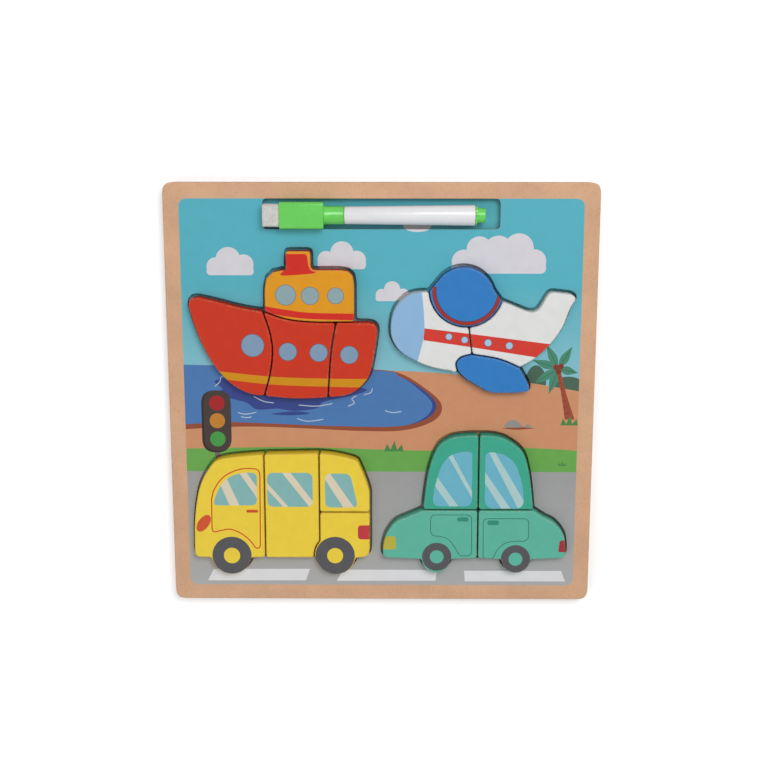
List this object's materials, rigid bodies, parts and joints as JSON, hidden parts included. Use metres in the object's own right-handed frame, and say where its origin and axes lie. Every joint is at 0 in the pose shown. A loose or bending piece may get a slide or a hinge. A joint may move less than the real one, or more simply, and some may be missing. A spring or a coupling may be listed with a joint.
{
  "type": "wooden board puzzle",
  "caption": "Square wooden board puzzle with chunky vehicle pieces in cut-outs of a printed scene, and a dry-erase marker in a slot along the top.",
  "frame": {"origin": "middle of the board's back, on the surface that the board lies on", "axes": "+Z out of the picture, the way the pieces lift, +Y towards the marker's slot, +X to the right of the picture"},
  "size_m": [0.225, 0.225, 0.0142],
  "materials": {
    "whiteboard": "smooth white dry-erase film, glossy",
    "fibreboard": "medium density fibreboard, laser-browned cut edges, printed on top",
    "printed_fibreboard": "fibreboard with a satin colour print, bare tan border",
    "red_paint": "satin red paint on fibreboard, printed details",
    "orange_paint": "satin orange paint on fibreboard, printed details",
    "white_paint": "satin white paint on fibreboard, printed details",
    "blue_paint": "satin blue paint on fibreboard, printed details",
    "yellow_paint": "satin yellow paint on fibreboard, printed details",
    "green_paint": "satin sea-green paint on fibreboard, printed details",
    "green_plastic": "moulded plastic, half gloss",
    "white_plastic": "moulded plastic, half gloss",
    "felt": "pressed felt",
    "fibre": "bonded ink fibre",
    "inked_fibre": "bonded fibre soaked with green ink"
  },
  "bodies": {
    "board": {"whiteboard_sheet": "whiteboard", "base_board": "fibreboard", "frame_board": "printed_fibreboard"},
    "ship_bow": {"ship_bow": "red_paint"},
    "ship_midship": {"ship_midship": "red_paint"},
    "ship_stern": {"ship_stern": "red_paint"},
    "ship_cabin": {"ship_cabin": "orange_paint"},
    "plane_nose": {"plane_nose": "white_paint"},
    "plane_tail": {"plane_tail": "white_paint"},
    "plane_cockpit": {"plane_cockpit": "blue_paint"},
    "plane_wing": {"plane_wing": "blue_paint"},
    "bus_front": {"bus_front": "yellow_paint"},
    "bus_middle": {"bus_middle": "yellow_paint"},
    "bus_rear_top": {"bus_rear_top": "yellow_paint"},
    "bus_rear_bottom": {"bus_rear_bottom": "yellow_paint"},
    "car_roof_front": {"car_roof_front": "green_paint"},
    "car_roof_rear": {"car_roof_rear": "green_paint"},
    "car_body_front": {"car_body_front": "green_paint"},
    "car_body_rear": {"car_body_rear": "green_paint"},
    "marker_cap": {"marker_cap": "green_plastic", "eraser_pad": "felt"},
    "marker_pen": {"marker_barrel": "white_plastic", "marker_end_plug": "green_plastic", "ink_reservoir": "fibre", "marker_nib": "inked_fibre"}
  },
  "joints": [
    {"name": "ship_bow_lift", "type": "slide", "parent": "board", "child": "ship_bow", "axis": [0, 0, 1], "range_m": [0, 0.03]},
    {"name": "ship_midship_lift", "type": "slide", "parent": "board", "child": "ship_midship", "axis": [0, 0, 1], "range_m": [0, 0.03]},
    {"name": "ship_stern_lift", "type": "slide", "parent": "board", "child": "ship_stern", "axis": [0, 0, 1], "range_m": [0, 0.03]},
    {"name": "ship_cabin_lift", "type": "slide", "parent": "board", "child": "ship_cabin", "axis": [0, 0, 1], "range_m": [0, 0.03]},
    {"name": "plane_nose_lift", "type": "slide", "parent": "board", "child": "plane_nose", "axis": [0, 0, 1], "range_m": [0, 0.03]},
    {"name": "plane_tail_lift", "type": "slide", "parent": "board", "child": "plane_tail", "axis": [0, 0, 1], "range_m": [0, 0.03]},
    {"name": "plane_cockpit_lift", "type": "slide", "parent": "board", "child": "plane_cockpit", "axis": [0, 0, 1], "range_m": [0, 0.03]},
    {"name": "plane_wing_lift", "type": "slide", "parent": "board", "child": "plane_wing", "axis": [0, 0, 1], "range_m": [0, 0.03]},
    {"name": "bus_front_lift", "type": "slide", "parent": "board", "child": "bus_front", "axis": [0, 0, 1], "range_m": [0, 0.03]},
    {"name": "bus_middle_lift", "type": "slide", "parent": "board", "child": "bus_middle", "axis": [0, 0, 1], "range_m": [0, 0.03]},
    {"name": "bus_rear_top_lift", "type": "slide", "parent": "board", "child": "bus_rear_top", "axis": [0, 0, 1], "range_m": [0, 0.03]},
    {"name": "bus_rear_bottom_lift", "type": "slide", "parent": "board", "child": "bus_rear_bottom", "axis": [0, 0, 1], "range_m": [0, 0.03]},
    {"name": "car_roof_front_lift", "type": "slide", "parent": "board", "child": "car_roof_front", "axis": [0, 0, 1], "range_m": [0, 0.03]},
    {"name": "car_roof_rear_lift", "type": "slide", "parent": "board", "child": "car_roof_rear", "axis": [0, 0, 1], "range_m": [0, 0.03]},
    {"name": "car_body_front_lift", "type": "slide", "parent": "board", "child": "car_body_front", "axis": [0, 0, 1], "range_m": [0, 0.03]},
    {"name": "car_body_rear_lift", "type": "slide", "parent": "board", "child": "car_body_rear", "axis": [0, 0, 1], "range_m": [0, 0.03]},
    {"name": "marker_lift", "type": "slide", "parent": "board", "child": "marker_cap", "axis": [0, 0, 1], "range_m": [0, 0.03]},
    {"name": "cap_pull", "type": "slide", "parent": "marker_cap", "child": "marker_pen", "axis": [1, 0, 0], "range_m": [0, 0.0075]}
  ]
}
